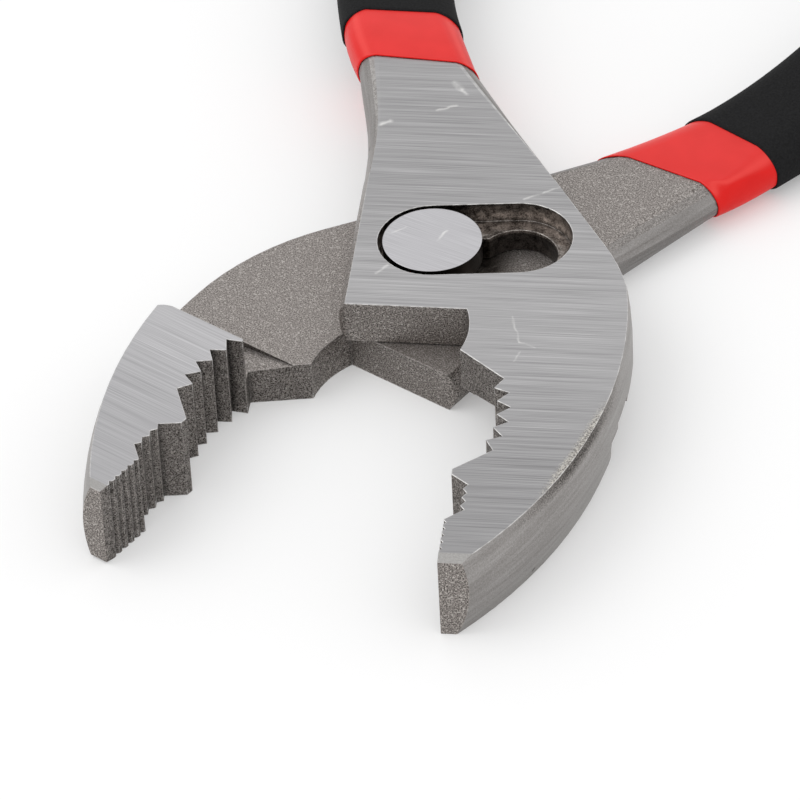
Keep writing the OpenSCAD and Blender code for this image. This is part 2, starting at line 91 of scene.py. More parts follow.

# Slow changes of tone along Y, most of them painted sheen, shade and light: where each begins and ends
SHEEN_AT_TIP = (-44.0, -16.0)
SHEEN_AT_HANDLE = (-6.0, 8.0)
SATIN_SHADE_AT_TIP = (-44.0, -18.0)
SATIN_SHADE_AT_HANDLE = (4.0, 16.0)
HELD = (HANDLE_Y - 14.0, HANDLE_Y + 2.0)
PAINTED_TIP_LIGHT = (TIP_Y + 1.0, TIP_Y + 0.3)
# And up Z, the dark strip along the upper edge of the jaw's back
STRIP = (HEAD_T - 1.7, HEAD_T - 0.7)


def linear(hex_colour):
    """An sRGB hex colour as linear RGBA."""
    parts = [int(hex_colour[i:i + 2], 16) / 255 for i in (1, 3, 5)]
    return [c / 12.92 if c <= 0.04045 else ((c + 0.055) / 1.055) ** 2.4 for c in parts] + [1.0]


def add(material, kind, inputs=None, stops=(), **settings):
    """Adds one node with its settings, fills its sockets with values or links, returns its outputs."""
    node = material.node_tree.nodes.new("ShaderNode" + kind)
    for name, value in settings.items():
        setattr(node, name, value)
    for place, (at, value) in enumerate(stops):
        ramp = node.color_ramp.elements
        stop = ramp[place] if place < 2 else ramp.new(at)
        stop.position = at
        stop.color = linear(value) if isinstance(value, str) else (value, value, value, 1.0)
    for name, value in (inputs or {}).items():
        if isinstance(value, bpy.types.NodeSocket):
            material.node_tree.links.new(value, node.inputs[name])
        else:
            node.inputs[name].default_value = value
    return node.outputs


def new_material(name):
    """A node material with nothing in it."""
    material = bpy.data.materials.new(name)
    material.use_nodes = True
    material.node_tree.nodes.clear()
    return material


def line_distance(material, plan, start, end):
    """Distance in millimetres, in plan, from the straight line between two places."""
    run = end - start
    from_start = add(material, "VectorMath", {0: plan, 1: start}, operation="SUBTRACT")[0]
    along = add(material, "VectorMath", {0: from_start, 1: run / run.length_squared},
                operation="DOT_PRODUCT")["Value"]
    within = add(material, "Clamp", {"Value": along})[0]
    foot = add(material, "VectorMath", {0: run, "Scale": within}, operation="SCALE")[0]
    return add(material, "VectorMath", {0: from_start, 1: foot}, operation="DISTANCE")["Value"]


def scratched(material, colour, plan, scratches, where):
    """The colour with ragged nicks: where each begins and ends, its width in mm, strength and tint."""
    ragged = add(material, "TexNoise", {"Vector": plan, "Scale": 1 / NICK_BEND, "Detail": 3.0})
    sway = Vector((NICK_SWAY, NICK_SWAY, 0.0))
    aside = add(material, "VectorMath", {0: ragged["Color"], 1: 2 * sway, 2: -sway},
                operation="MULTIPLY_ADD")[0]
    bent = add(material, "VectorMath", {0: plan, 1: aside}, operation="ADD")[0]
    worn = add(material, "MapRange", {"Value": ragged["Fac"], "From Min": 0.36, "From Max": 0.56,
                                      "To Min": 0.2})["Result"]
    worn = add(material, "Math", {0: worn, 1: where}, operation="MULTIPLY")[0]
    for start, end, width, strength, tint in scratches:
        apart = line_distance(material, bent, Vector((*start, 0.0)), Vector((*end, 0.0)))
        mark = add(material, "MapRange", {"Value": apart, "From Max": width, "To Min": strength,
                                          "To Max": 0.0})["Result"]
        mark = add(material, "Math", {0: mark, 1: worn}, operation="MULTIPLY")[0]
        colour = add(material, "Mix", {0: mark, 6: colour, 7: linear(tint)}, data_type="RGBA")[2]
    return colour


def forged_steel(name, flip, shift, widest_x, margin_w, ground_tones, oil_line, oil_reach, oil_fade,
                 oil_tones, scratches, scratched_face):
    """Carbon steel, drop forged and shot-blasted all over, then belt-ground on its flat faces.

    The blasted skin is a warm grey with a fine grain and painted glints, and painted shade makes it
    darker on upright walls and darkest between the teeth. The ground faces are pale with fine lines
    across the jaw, and the edges round them are rubbed bright and carry a painted highlight. Flip is -1
    for the half that lies turned over, and scratched_face is the way along Z that the nicked face looks.
    """
    steel = new_material(name)

    # The half's own frame in millimetres, and the way that its surface faces there
    where = add(steel, "TexCoord")
    own = add(steel, "Mapping", {"Vector": where["Object"], "Location": shift,
                                 "Rotation": (0, 0, -OPEN_ANGLE / 2),
                                 "Scale": (flip / MM, 1 / MM, flip / MM)})[0]
    facing = add(steel, "Mapping", {"Vector": where["Normal"], "Rotation": (0, 0, -OPEN_ANGLE / 2),
                                    "Scale": (flip, 1, flip)}, vector_type="VECTOR")[0]
    at = add(steel, "SeparateXYZ", {0: own})
    to = add(steel, "SeparateXYZ", {0: facing})
    plan = add(steel, "VectorMath", {0: own, 1: (1, 1, 0)}, operation="MULTIPLY")[0]

    # The blasted grain, the few grains lit as painted glints, and two sizes of cloudiness
    grain = add(steel, "TexNoise", {"Vector": own, "Scale": 1 / GRAIN, "Detail": 2.0,
                                    "Roughness": 0.6})["Fac"]
    glint = add(steel, "TexVoronoi", {"Vector": own, "Scale": 1 / GLINT})["Color"]
    glint = add(steel, "SeparateColor", {0: glint})[0]
    painted_glint = add(steel, "MapRange", {"Value": glint, "From Min": 0.84, "From Max": 0.98,
                                    "To Max": 0.65})["Result"]
    mottle = add(steel, "TexNoise", {"Vector": own, "Scale": 1 / MOTTLE, "Detail": 3.0})["Fac"]
    patch = add(steel, "TexNoise", {"Vector": own, "Scale": 1 / PATCH, "Detail": 3.0})["Fac"]

    # Level faces, and those of them that the belt reached
    upward = add(steel, "Math", {0: to[2]}, operation="ABSOLUTE")[0]
    level = add(steel, "MapRange", {"Value": upward, "From Min": 0.5, "From Max": 0.97},
                interpolation_type="SMOOTHSTEP")["Result"]
    flat = add(steel, "MapRange", {"Value": upward, "From Min": 0.9, "From Max": 0.965},
               interpolation_type="SMOOTHSTEP")["Result"]
    from_middle = add(steel, "Math", {0: at[2], 1: HEAD_T / 2}, operation="SUBTRACT")[0]
    from_middle = add(steel, "Math", {0: from_middle}, operation="ABSOLUTE")[0]
    outside = add(steel, "Math", {0: from_middle, 1: HEAD_T / 2 - BELT_DEPTH},
                  operation="GREATER_THAN")[0]
    ground = add(steel, "Math", {0: flat, 1: outside}, operation="MULTIPLY")[0]

    # On the jaw's back, a margin where the belt only touched the tops of the grain
    back_centre = (widest_x - BACK_R, WIDEST_Y, 0)
    from_back = add(steel, "VectorMath", {0: plan, 1: back_centre}, operation="DISTANCE")["Value"]
    margin = add(steel, "MapRange", {"Value": from_back, "From Min": BACK_R - margin_w,
                                     "From Max": BACK_R})["Result"]
    along_back = add(steel, "MapRange", {"Value": at[1], "From Min": TIP_Y,
                                         "From Max": WIDEST_Y})["Result"]
    along_back = add(steel, "ValToRGB", {0: along_back},
                     stops=[(0.15, 0.0), (0.4, 1.0), (0.6, 1.0), (0.85, 0.0)])[0]
    margin = add(steel, "Math", {0: margin, 1: along_back}, operation="MULTIPLY")[0]
    touched = add(steel, "Math", {0: margin, 1: grain}, operation="ADD")[0]
    touched = add(steel, "MapRange", {"Value": touched, "From Min": 0.95, "From Max": 1.25,
                                      "To Max": 0.8})["Result"]
    touched = add(steel, "Math", {0: touched, 1: ground}, operation="MULTIPLY")[0]
    speckled = add(steel, "ValToRGB", {0: glint}, stops=[(0.2, "#78736e"), (0.8, "#d6d2c9")])[0]

    # Ground faces: fine belt lines over softer bands, with a bright line here and there
    lines_at = add(steel, "Mapping", {"Vector": own,
                                      "Scale": (1 / BELT_LINE_LEN, 1 / BELT_LINE_W, 0)})[0]
    lines = add(steel, "TexNoise", {"Vector": lines_at, "Scale": 1.0, "Detail": 3.0,
                                    "Roughness": 0.6})["Fac"]
    bands_at = add(steel, "Mapping", {"Vector": own,
                                      "Scale": (1 / BELT_BAND_LEN, 1 / BELT_BAND_W, 0)})[0]
    bands = add(steel, "TexNoise", {"Vector": bands_at, "Scale": 1.0, "Detail": 2.0})["Fac"]
    tone = add(steel, "Mix", {0: 0.25, 2: lines, 3: bands})[0]
    ground_colour = add(steel, "ValToRGB", {0: tone},
                        stops=[(0.3, ground_tones[0]), (0.7, ground_tones[1])])[0]
    deep = add(steel, "MapRange", {"Value": lines, "From Min": 0.68, "From Max": 0.8,
                                   "To Max": 0.6})["Result"]
    ground_colour = add(steel, "Mix", {0: deep, 6: ground_colour, 7: linear(BRIGHT_STEEL)},
                        data_type="RGBA")[2]
    # Painted sheen: the ground faces a little darker towards the tip and up the handle
    tipward = add(steel, "MapRange", {"Value": at[1], "From Min": SHEEN_AT_TIP[0],
                                      "From Max": SHEEN_AT_TIP[1], "To Min": 0.86, "To Max": 1.07},
                  interpolation_type="SMOOTHSTEP")["Result"]
    handleward = add(steel, "MapRange", {"Value": at[1], "From Min": SHEEN_AT_HANDLE[0],
                                         "From Max": SHEEN_AT_HANDLE[1], "To Min": 1.0, "To Max": 0.9},
                     interpolation_type="SMOOTHSTEP")["Result"]
    ground_sheen = add(steel, "Math", {0: tipward, 1: handleward}, operation="MULTIPLY")[0]
    ground_colour = add(steel, "VectorMath", {0: ground_colour, "Scale": ground_sheen}, operation="SCALE")[0]
    ground_colour = add(steel, "Mix", {0: touched, 6: ground_colour, 7: speckled},
                        data_type="RGBA")[2]
    # The small bevel on the tip is ground by hand, smoother and without lines
    on_bevel = add(steel, "Math", {0: at[1], 1: TIP_Y + TIP_BEVEL}, operation="LESS_THAN")[0]
    bevel_tone = add(steel, "ValToRGB", {0: grain}, stops=[(0.3, "#9c9a98"), (0.7, "#b2b0ae")])[0]
    ground_colour = add(steel, "Mix", {0: on_bevel, 6: ground_colour, 7: bevel_tone},
                        data_type="RGBA")[2]

    # The blasted skin, with painted glints and painted shade and light: darker on walls, darker still
    # on the jaw's inside, paler on the blunt tip
    blasted = add(steel, "ValToRGB", {0: grain}, stops=[(0.32, "#5c5652"), (0.68, "#bfb9b5")])[0]
    walls_in_painted_shade = add(steel, "ValToRGB", {0: grain}, stops=[(0.34, "#2a2623"), (0.68, "#b8b1ac")])[0]
    blasted = add(steel, "Mix", {0: level, 6: walls_in_painted_shade, 7: blasted}, data_type="RGBA")[2]
    blasted = add(steel, "Mix", {0: painted_glint, 6: blasted, 7: linear("#d6d1cc")}, data_type="RGBA")[2]
    inward_shade = add(steel, "MapRange", {"Value": to[0], "From Min": -0.1, "From Max": -0.5,
                                     "To Min": 1.0, "To Max": 0.74},
                 interpolation_type="SMOOTHSTEP")["Result"]
    jaw = add(steel, "Math", {0: at[1], 1: THROAT_Y}, operation="LESS_THAN")[0]
    inward_shade = add(steel, "Mix", {0: jaw, 2: 1.0, 3: inward_shade})[0]
    tip_light = add(steel, "MapRange", {"Value": at[1], "From Min": PAINTED_TIP_LIGHT[0], "From Max": PAINTED_TIP_LIGHT[1],
                                  "To Min": 1.0, "To Max": 1.12})["Result"]
    shade = add(steel, "Math", {0: inward_shade, 1: tip_light}, operation="MULTIPLY")[0]
    # Painted shade: darker in corners and between teeth, where little is open, and lighter on the crests
    openness = add(steel, "AmbientOcclusion", {"Distance": CREVICE_SHADE_W * MM}, samples=6,
                   only_local=True)["AO"]
    clear = add(steel, "MapRange", {"Value": openness, "From Min": 0.35, "From Max": 0.95,
                                    "To Min": 0.28, "To Max": 0.95})["Result"]
    shade = add(steel, "Math", {0: shade, 1: clear}, operation="MULTIPLY")[0]
    blasted = add(steel, "VectorMath", {0: blasted, "Scale": shade}, operation="SCALE")[0]

    # The outer sides, rubbed to a satin by handling, with low streaks along their length
    streaks_at = add(steel, "Mapping", {"Vector": own,
                                        "Scale": (1 / STREAK_LEN, 1 / STREAK_LEN, 1 / STREAK_H)})[0]
    streaks = add(steel, "TexNoise", {"Vector": streaks_at, "Scale": 1.0, "Detail": 3.0})["Fac"]
    satin_tone = add(steel, "Mix", {0: 0.55, 2: streaks, 3: grain})[0]
    satin = add(steel, "ValToRGB", {0: satin_tone}, stops=[(0.32, "#837f7c"), (0.68, "#adaaa8")])[0]
    # Painted shade: the satin sides darker towards the tip and up the handle
    tipward = add(steel, "MapRange", {"Value": at[1], "From Min": SATIN_SHADE_AT_TIP[0],
                                      "From Max": SATIN_SHADE_AT_TIP[1], "To Min": 0.94,
                                      "To Max": 1.0})["Result"]
    handleward = add(steel, "MapRange", {"Value": at[1], "From Min": SATIN_SHADE_AT_HANDLE[0],
                                         "From Max": SATIN_SHADE_AT_HANDLE[1], "To Min": 1.0,
                                         "To Max": 0.72})["Result"]
    satin_light_and_shade = add(steel, "Math", {0: tipward, 1: handleward}, operation="MULTIPLY")[0]
    # On the handle, a painted sheen: the sides are lighter where they turn up towards the faces than where
    # they stand upright. The ramp holds half of each value, because it can hold none above 1.
    held = add(steel, "MapRange", {"Value": at[1], "From Min": HELD[0], "From Max": HELD[1]},
               interpolation_type="SMOOTHSTEP")["Result"]
    shoulder_sheen = add(steel, "ValToRGB", {0: upward},
                   stops=[(0.0, 0.46), (0.45, 0.56), (0.75, 0.62), (0.95, 0.5)])[0]
    shoulder_sheen = add(steel, "Math", {0: shoulder_sheen, 1: 2.0}, operation="MULTIPLY")[0]
    shoulder_sheen = add(steel, "Mix", {0: held, 2: 1.0, 3: shoulder_sheen})[0]
    satin_light_and_shade = add(steel, "Math", {0: satin_light_and_shade, 1: shoulder_sheen}, operation="MULTIPLY")[0]
    satin = add(steel, "VectorMath", {0: satin, "Scale": satin_light_and_shade}, operation="SCALE")[0]
    # Small dark pits that the forging die left
    pits = add(steel, "TexVoronoi", {"Vector": own, "Scale": 1 / PIT_SPACING})["Distance"]
    pits = add(steel, "MapRange", {"Value": pits, "From Min": 0.03, "From Max": 0.06, "To Min": 0.8,
                                   "To Max": 0.0})["Result"]
    satin = add(steel, "Mix", {0: pits, 6: satin, 7: linear("#37322f")}, data_type="RGBA")[2]
    # Satin are the jaw's back and both sides of the handle
    outward = add(steel, "MapRange", {"Value": to[0], "From Min": 0.1, "From Max": 0.45},
                  interpolation_type="SMOOTHSTEP")["Result"]
    sideways = add(steel, "Math", {0: to[0]}, operation="ABSOLUTE")[0]
    handle_side = add(steel, "MapRange", {"Value": sideways, "From Min": 0.2, "From Max": 0.6},
                      interpolation_type="SMOOTHSTEP")["Result"]
    handle_side = add(steel, "Math", {0: handle_side, 1: held}, operation="MULTIPLY")[0]
    side = add(steel, "Math", {0: outward, 1: handle_side}, operation="MAXIMUM")[0]
    # A dark strip that stays granular under the margin, along the side's upper edge
    strip = add(steel, "MapRange", {"Value": at[2], "From Min": STRIP[0],
                                    "From Max": STRIP[1]})["Result"]
    strip = add(steel, "Math", {0: strip, 1: along_back}, operation="MULTIPLY")[0]
    strip = add(steel, "Math", {0: strip, 1: outward}, operation="MULTIPLY")[0]
    smooth_side = add(steel, "Math", {0: 1.0, 1: strip}, operation="SUBTRACT")[0]
    side = add(steel, "Math", {0: side, 1: smooth_side}, operation="MULTIPLY")[0]
    strip_tone = add(steel, "MapRange", {"Value": strip, "To Min": 1.0, "To Max": 0.55})["Result"]
    blasted = add(steel, "VectorMath", {0: blasted, "Scale": strip_tone}, operation="SCALE")[0]

    # Edges rubbed bright and given a painted highlight: where the normal, averaged over a small
    # radius, leaves the face's own
    soft = add(steel, "Bevel", {"Radius": EDGE_R * MM}, samples=8)[0]
    plain = add(steel, "NewGeometry")["True Normal"]
    turnaway = add(steel, "VectorMath", {0: soft, 1: plain}, operation="DOT_PRODUCT")["Value"]
    edge = add(steel, "MapRange", {"Value": turnaway, "From Min": 0.985, "From Max": 0.92},
               interpolation_type="SMOOTHSTEP")["Result"]
    broken = add(steel, "MapRange", {"Value": patch, "From Min": 0.4, "From Max": 0.6, "To Min": 0.3,
                                     "To Max": 0.95})["Result"]
    kept = add(steel, "MapRange", {"Value": outside, "To Min": 0.12, "To Max": 1.0})["Result"]
    edge = add(steel, "Math", {0: edge, 1: kept}, operation="MULTIPLY")[0]
    outer_edge = add(steel, "MapRange", {"Value": openness, "From Min": 0.6,
                                         "From Max": 0.8})["Result"]
    edge = add(steel, "Math", {0: edge, 1: outer_edge}, operation="MULTIPLY")[0]
    # A rounded edge of a ground face is rubbed too, where the face begins to turn, and gets a painted
    # highlight there
    rim = add(steel, "ValToRGB", {0: upward},
              stops=[(0.9, 0.0), (0.94, 0.8), (0.975, 0.8), (0.985, 0.0)])[0]
    rim = add(steel, "Math", {0: rim, 1: outside}, operation="MULTIPLY")[0]
    edge = add(steel, "Math", {0: edge, 1: rim}, operation="MAXIMUM")[0]
    edge = add(steel, "Math", {0: edge, 1: broken}, operation="MULTIPLY")[0]
    off_bevel = add(steel, "Math", {0: at[1], 1: TIP_Y + TIP_BEVEL}, operation="GREATER_THAN")[0]
    edge = add(steel, "Math", {0: edge, 1: off_bevel}, operation="MULTIPLY")[0]
    # Teeth are rubbed along their crests, which get a painted highlight
    crest_highlight = add(steel, "Math", {0: turnaway, 1: 0.93}, operation="LESS_THAN")[0]
    crest_highlight = add(steel, "Math", {0: crest_highlight, 1: jaw}, operation="MULTIPLY")[0]
    crest_highlight = add(steel, "Math", {0: crest_highlight, 1: outer_edge}, operation="MULTIPLY")[0]
    crest_highlight = add(steel, "Math", {0: crest_highlight, 1: grain}, operation="MULTIPLY")[0]
    crest_highlight = add(steel, "Math", {0: crest_highlight, 1: 0.6}, operation="MULTIPLY")[0]

    # Round the pin: oiled, darker and smoother than the rest of the skin
    apart = line_distance(steel, plan, *oil_line)
    oiled = add(steel, "MapRange", {"Value": apart, "From Min": oil_reach,
                                    "From Max": oil_reach - oil_fade})["Result"]
    bare = add(steel, "Math", {0: 1.0, 1: ground}, operation="SUBTRACT")[0]
    oiled = add(steel, "Math", {0: oiled, 1: bare}, operation="MULTIPLY")[0]
    oil_tone = add(steel, "Mix", {0: 0.5, 2: grain, 3: patch})[0]
    oil_colour = add(steel, "ValToRGB", {0: oil_tone},
                     stops=[(0.38, oil_tones[0]), (0.62, oil_tones[1])])[0]
    # Painted light and shade on its walls: lightest just above the ledge, darker towards the top and black
    # below the ledge, deep in the bore, with the painted shade of corners over it. The ramp holds shares
    # of the lightest tone.
    ledge = 1 - RECESS_DEPTH / PLATE_T
    up_wall = add(steel, "MapRange", {"Value": at[2], "From Min": HEAD_T - PLATE_T,
                                      "From Max": HEAD_T})["Result"]
    recess_light_and_shade = add(steel, "ValToRGB", {0: up_wall},
                    stops=[(ledge - 0.1, 0.12), (ledge - 0.03, 0.85), (ledge + 0.1, 1.0),
                           (1.0, 0.3)])[0]
    recess_light_and_shade = add(steel, "Math", {0: recess_light_and_shade, 1: RECESS_WALL_LIGHT}, operation="MULTIPLY")[0]
    oil_light_and_shade = add(steel, "Mix", {0: level, 2: recess_light_and_shade, 3: 0.85})[0]
    oil_light_and_shade = add(steel, "Math", {0: oil_light_and_shade, 1: clear}, operation="MULTIPLY")[0]
    oil_colour = add(steel, "VectorMath", {0: oil_colour, "Scale": oil_light_and_shade}, operation="SCALE")[0]

    # All of it laid over each other: colour, then roughness, then relief
    colour = add(steel, "Mix", {0: side, 6: blasted, 7: satin}, data_type="RGBA")[2]
    colour = add(steel, "Mix", {0: crest_highlight, 6: colour, 7: linear("#b9b2ad")}, data_type="RGBA")[2]
    colour = add(steel, "Mix", {0: oiled, 6: colour, 7: oil_colour}, data_type="RGBA")[2]
    colour = add(steel, "Mix", {0: ground, 6: colour, 7: ground_colour}, data_type="RGBA")[2]
    # The rubbed edges with their painted highlight
    colour = add(steel, "Mix", {0: edge, 6: colour, 7: linear("#e3e2e0")}, data_type="RGBA")[2]
    that_way = add(steel, "Math", {0: to[2], 1: scratched_face}, operation="MULTIPLY")[0]
    that_way = add(steel, "MapRange", {"Value": that_way, "From Min": 0.9, "From Max": 0.97})["Result"]
    colour = scratched(steel, colour, plan, scratches, that_way)

    rough = add(steel, "Mix", {0: side, 2: ROUGHNESS["blasted"], 3: ROUGHNESS["satin"]})[0]
    rough = add(steel, "Mix", {0: oiled, 2: rough, 3: ROUGHNESS["oiled"]})[0]
    rough = add(steel, "Mix", {0: ground, 2: rough, 3: ROUGHNESS["ground"]})[0]

    height = add(steel, "Mix", {0: 0.3, 2: grain, 3: mottle})[0]
    height = add(steel, "Mix", {0: side, 2: height, 3: satin_tone})[0]
    height = add(steel, "Mix", {0: oiled, 2: height, 3: patch})[0]
    height = add(steel, "Mix", {0: ground, 2: height, 3: lines})[0]
    depth = add(steel, "Mix", {0: ground, 2: BUMP_DEPTH["blasted"] * MM,
                               3: BUMP_DEPTH["ground"] * MM})[0]
    depth = add(steel, "Mix", {0: side, 2: depth, 3: BUMP_DEPTH["satin"] * MM})[0]
    depth = add(steel, "Mix", {0: oiled, 2: depth, 3: BUMP_DEPTH["oiled"] * MM})[0]
    bump = add(steel, "Bump", {"Height": height, "Distance": depth, "Strength": 0.8,
                               "Normal": soft})[0]
    surface = add(steel, "BsdfPrincipled", {"Base Color": colour, "Metallic": 1.0, "Roughness": rough,
                                            "Normal": bump})[0]
    add(steel, "OutputMaterial", {"Surface": surface})
    return steel


# Nicks in the ground face: where each begins and ends, its width, its strength and its tint
SLOTTED_SCRATCHES = [
    ((-6.5, 26.1), (-5.6, 25.1), 0.5, 0.55, BRIGHT_STEEL),
    ((-5.6, 25.1), (-5.0, 24.2), 0.3, 0.7, BRIGHT_STEEL),
    ((-7.9, 21.2), (-5.8, 22.2), 0.25, 0.6, BRIGHT_STEEL),
    ((-13.7, 18.4), (-12.7, 19.0), 0.4, 0.9, BRIGHT_STEEL),
    ((3.1, 6.5), (6.6, 8.7), 0.22, 0.6, BRIGHT_STEEL),
    ((-11.2, -6.8), (-10.1, -5.5), 0.25, 0.6, BRIGHT_STEEL),
    ((3.7, -12.9), (4.9, -17.0), 0.15, 0.45, BRIGHT_STEEL),
    ((4.9, -17.0), (6.5, -17.7), 0.17, 0.6, BRIGHT_STEEL),
    ((5.1, -18.6), (4.6, -20.2), 0.15, 0.4, BRIGHT_STEEL),
]
# The oil fills the recess to a hair beyond its wall, and ends sharply there
RECESS_OIL = 0.03
RECESS_FADE = 0.01
slotted_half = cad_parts["slotted_half"]
slotted_half.data.materials.clear()
slotted_half.data.materials.append(forged_steel(
    "forged_steel_blasted_and_ground_slotted", flip=1, shift=WIDE_PLACE,
    widest_x=SLOTTED_WIDEST_X, margin_w=1.7, ground_tones=("#868586", "#c2c1c2"),
    oil_line=(NARROW_PLACE, WIDE_PLACE), oil_reach=RECESS_R + RECESS_OIL, oil_fade=RECESS_FADE,
    oil_tones=("#453f3b", "#b5ada7"), scratches=SLOTTED_SCRATCHES, scratched_face=1))


# Pinned half: the other jaw, forged, blasted and ground like the first, then turned over and
# laid under it, so that its blasted lap face shows beside the joint. The pin is riveted in its
# bore.
PINNED_WIDEST_X = 15.4
BORE = Vector((-PIVOT_X, 0.0, 0.0))
TURNED_OVER = BORE + Vector((0.0, 0.0, HEAD_T))
DARK_NICK = "#3f3a36"
PINNED_SCRATCHES = [
    ((-16.0, 15.34), (-16.56, 15.11), 0.2, 0.9, DARK_NICK),
    ((-16.46, 15.25), (-16.77, 17.71), 0.2, 0.9, DARK_NICK),
]
# The oil round the bore spreads from a point, given as a line too short to show, and fades out
NEXT_TO_BORE = BORE + Vector((0.01, 0.0, 0.0))
BORE_OIL = 9.5
BORE_FADE = 3.0
pinned_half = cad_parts["pinned_half"]
pinned_half.data.materials.clear()
pinned_half.data.materials.append(forged_steel(
    "forged_steel_blasted_and_ground_pinned", flip=-1, shift=TURNED_OVER,
    widest_x=PINNED_WIDEST_X, margin_w=0.4, ground_tones=("#a6a5a7", "#d0cfd1"),
    oil_line=(BORE, NEXT_TO_BORE), oil_reach=BORE_OIL, oil_fade=BORE_FADE,
    oil_tones=("#4c4642", "#79736d"), scratches=PINNED_SCRATCHES, scratched_face=-1))


# Pivot pin: a turned steel pin with two milled flats, its head ground flush with the slotted
# half and its tail riveted over in the pinned half's countersink.
PIN_GRAIN_ANGLE = math.radians(8.5)
PIN_LINE_W = 0.1
PIN_LINE_LEN = 10.0
PIN_LINE_DEPTH = 0.006
PIN_EDGE_R = 0.15
PIN_NICK = "#f1f0ee"
PIN_SCRATCHES = [
    ((0.5, 0.1), (0.9, 2.0), 0.2, 0.7, PIN_NICK),
    ((-4.5, -0.3), (-3.5, 1.1), 0.2, 0.5, PIN_NICK),
]

# Turned steel: dark and oily on the shank, and on both ends pale with fine straight belt lines
pin_steel = new_material("turned_steel_ground_head")
where = add(pin_steel, "TexCoord")
own = add(pin_steel, "Mapping", {"Vector": where["Object"], "Scale": (1 / MM, 1 / MM, 1 / MM)})[0]
plan = add(pin_steel, "VectorMath", {0: own, 1: (1, 1, 0)}, operation="MULTIPLY")[0]
upward = add(pin_steel, "SeparateXYZ", {0: where["Normal"]})[2]
upward = add(pin_steel, "Math", {0: upward}, operation="ABSOLUTE")[0]
ends = add(pin_steel, "MapRange", {"Value": upward, "From Min": 0.8, "From Max": 0.95})["Result"]
turned = add(pin_steel, "Mapping", {"Vector": own, "Rotation": (0, 0, PIN_GRAIN_ANGLE)})[0]
lines_at = add(pin_steel, "Mapping", {"Vector": turned,
                                      "Scale": (1 / PIN_LINE_LEN, 1 / PIN_LINE_W, 0)})[0]
lines = add(pin_steel, "TexNoise", {"Vector": lines_at, "Scale": 1.0, "Detail": 3.0,
                                    "Roughness": 0.6})["Fac"]
ground_colour = add(pin_steel, "ValToRGB", {0: lines}, stops=[(0.3, "#b2b1b4"), (0.66, "#cac9cc")])[0]
ground_colour = scratched(pin_steel, ground_colour, plan, PIN_SCRATCHES, ends)
colour = add(pin_steel, "Mix", {0: ends, 6: linear("#3f3b38"), 7: ground_colour}, data_type="RGBA")[2]
soft = add(pin_steel, "Bevel", {"Radius": PIN_EDGE_R * MM}, samples=8)[0]
bump = add(pin_steel, "Bump", {"Height": lines, "Distance": PIN_LINE_DEPTH * MM, "Strength": 0.8,
                               "Normal": soft})[0]
surface = add(pin_steel, "BsdfPrincipled", {"Base Color": colour, "Metallic": 1.0, "Roughness": 0.34,
                                            "Normal": bump})[0]
add(pin_steel, "OutputMaterial", {"Surface": surface})
pivot_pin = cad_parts["pivot_pin"]
pivot_pin.data.materials.clear()
pivot_pin.data.materials.append(pin_steel)


# Red sleeves: both handles are dipped in soft PVC. The dip leaves a skin that feathers out on
# the steel at a bowed mouth, draws a crease along the handle's outer edge and dries semi-gloss.

# The steel bar inside, in millimetres: how it bends, narrows and is rounded. A corner's radius stays
# under CORNER_LIMIT times half of the section's thickness or width.
OUTER_ANGLE = math.radians(11.0)
ELBOW = 68.0
NECK_RUN = 11.0
BAR_W = 4.9
BAR_H = 2.0
END_INSET = 1.5
GRIP_END = 149.0
END_WALL = 2.6
BAR_END = GRIP_END - 2 * END_WALL
SHARP_R = 0.1
GROUND_ROUND = 1.1
SHANK_ROUND = 1.9
PLATE_BULGE = 0.8
SIDE_BULGE = 1.1
CORNER_LIMIT = 0.95
# The skin: its thickness, its mouth and its crease
COAT_GAP = 0.04
SLEEVE_T = 0.6
MOUTH_T = 0.22
MOUTH_RUN = 7.0
LIP_LEN = 0.25
CREASE_R = 0.7
CREASE_START = 0.2
CREASE_FULL = 1.6
# The fineness of the meshes. Rings crowd towards the mouth, and an end cap stops short of a point.
CORNER_STEPS = 10
SIDE_STEPS = 5
LIP_STEPS = 6
MOUTH_STEPS = 24
MOUTH_CROWDING = 1.3
MOUTH_STEPS_INSIDE = 10
BEND_STEPS = 20
STRAIGHT_STEPS = 15
CAP_STEPS = 6
CAP_TURN = 84
# For each half: where the sleeve and the grip begin along Y, the plate's thickness and its relief, how
# far the handle spreads, where and at what angle the plate's edges enter the sleeve, and how sleeve
# and grip are bowed there, as a lead, the place along X that leads, and how fast each side falls back
HANDLES = {
    "slotted": {
        "mouth": 30.0, "rim": 38.6, "plate": 5.0, "relief": 0.0, "spread": 17.0,
        "inner_x": -5.842, "outer_x": -16.388, "inner_angle": math.radians(30.5),
        "mouth_bow": (0.5, -13.0, 0.0, 0.02), "rim_bow": (0.25, -15.0, 0.055, 0.025)},
    "pinned": {
        "mouth": 28.9, "rim": 37.5, "plate": 4.7, "relief": 0.8, "spread": 20.5,
        "inner_x": -6.597, "outer_x": -18.545, "inner_angle": math.radians(32.0),
        "mouth_bow": (0.2, -14.5, 0.025, 0.025), "rim_bow": (-0.2, -12.5, 0.012, 0.03)},
}
NO_BOW = (0.0, 0.0, 0.0, 0.0)
# From a half's own frame to its place at rest
HALF_PLACES = {
    "slotted": Matrix.Rotation(OPEN_ANGLE / 2, 4, "Z") @ Matrix.Translation(-WIDE_PLACE),
    "pinned": (Matrix.Rotation(-OPEN_ANGLE / 2, 4, "Z") @ Matrix.Translation(TURNED_OVER)
               @ Matrix.Rotation(math.pi, 4, "Y")),
}
